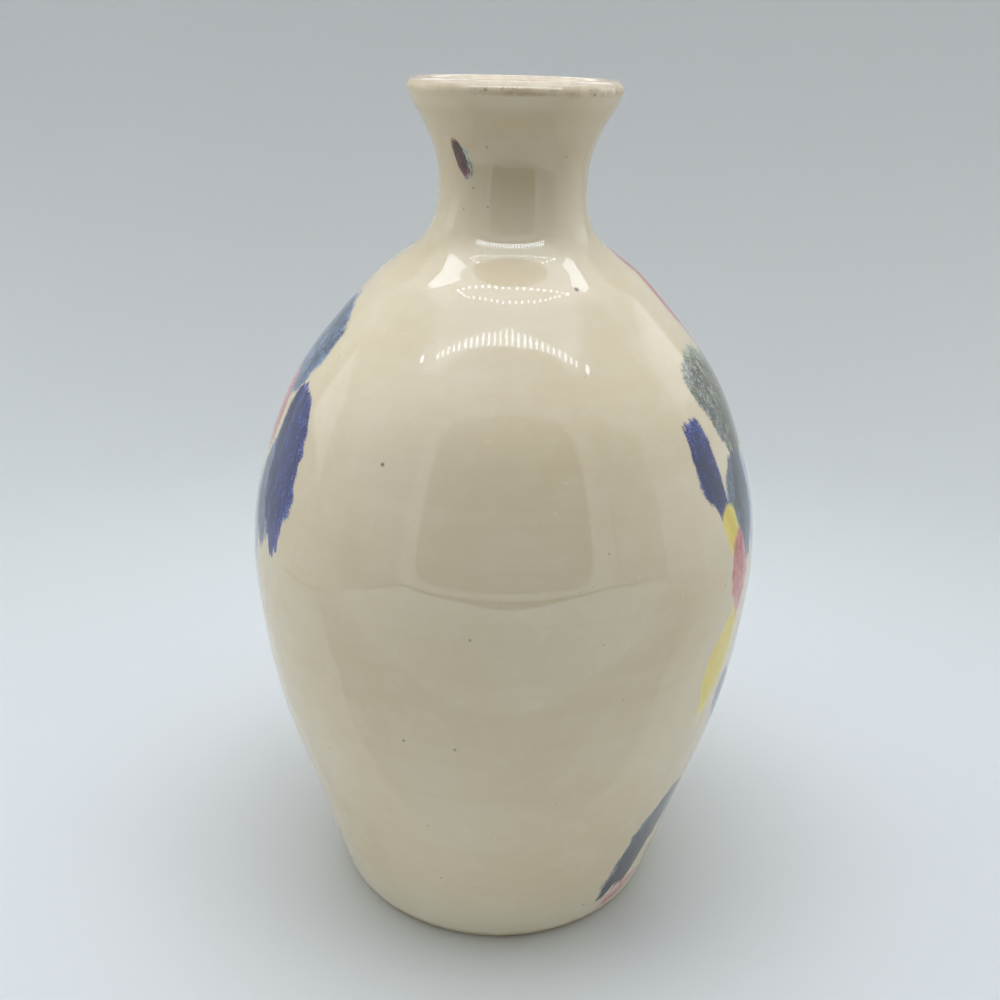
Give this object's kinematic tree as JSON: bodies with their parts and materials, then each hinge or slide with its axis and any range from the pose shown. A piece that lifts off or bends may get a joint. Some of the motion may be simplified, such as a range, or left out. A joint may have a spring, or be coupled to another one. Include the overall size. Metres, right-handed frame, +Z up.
{
  "type": "pottery vase",
  "caption": "Hand-thrown bottle vase with a broad shouldered belly, a narrow flared neck and a rounded lip, cream glaze and loose coloured brush marks; holds stems or stands as decoration.",
  "frame": {"origin": "centre of the foot on the plane that the vase rests on", "axes": "+Z up along the turning axis; -Y faces the viewer of the plainest side, +X to that viewer's right"},
  "size_m": [0.1324, 0.1325, 0.215],
  "materials": {
    "clay": "bare fired clay, matte",
    "outer_glaze": "glossy cream glaze with fine iron specks",
    "liner_glaze": "glossy cream liner glaze",
    "cobalt_glaze": "glossy cobalt brush marks",
    "slate_glaze": "glossy blue-grey brush marks",
    "olive_glaze": "glossy grey-green brush marks",
    "lavender_glaze": "glossy pale blue brush marks",
    "rose_glaze": "glossy rose brush marks",
    "yellow_glaze": "glossy yellow brush marks",
    "maroon_glaze": "glossy maroon touch"
  },
  "bodies": {
    "root": {"clay_body": "clay", "outer_glaze": "outer_glaze", "liner_glaze": "liner_glaze", "cobalt_marks": "cobalt_glaze", "slate_marks": "slate_glaze", "olive_marks": "olive_glaze", "lavender_marks": "lavender_glaze", "rose_marks": "rose_glaze", "yellow_marks": "yellow_glaze", "neck_touch": "maroon_glaze"}
  },
  "joints": []
}
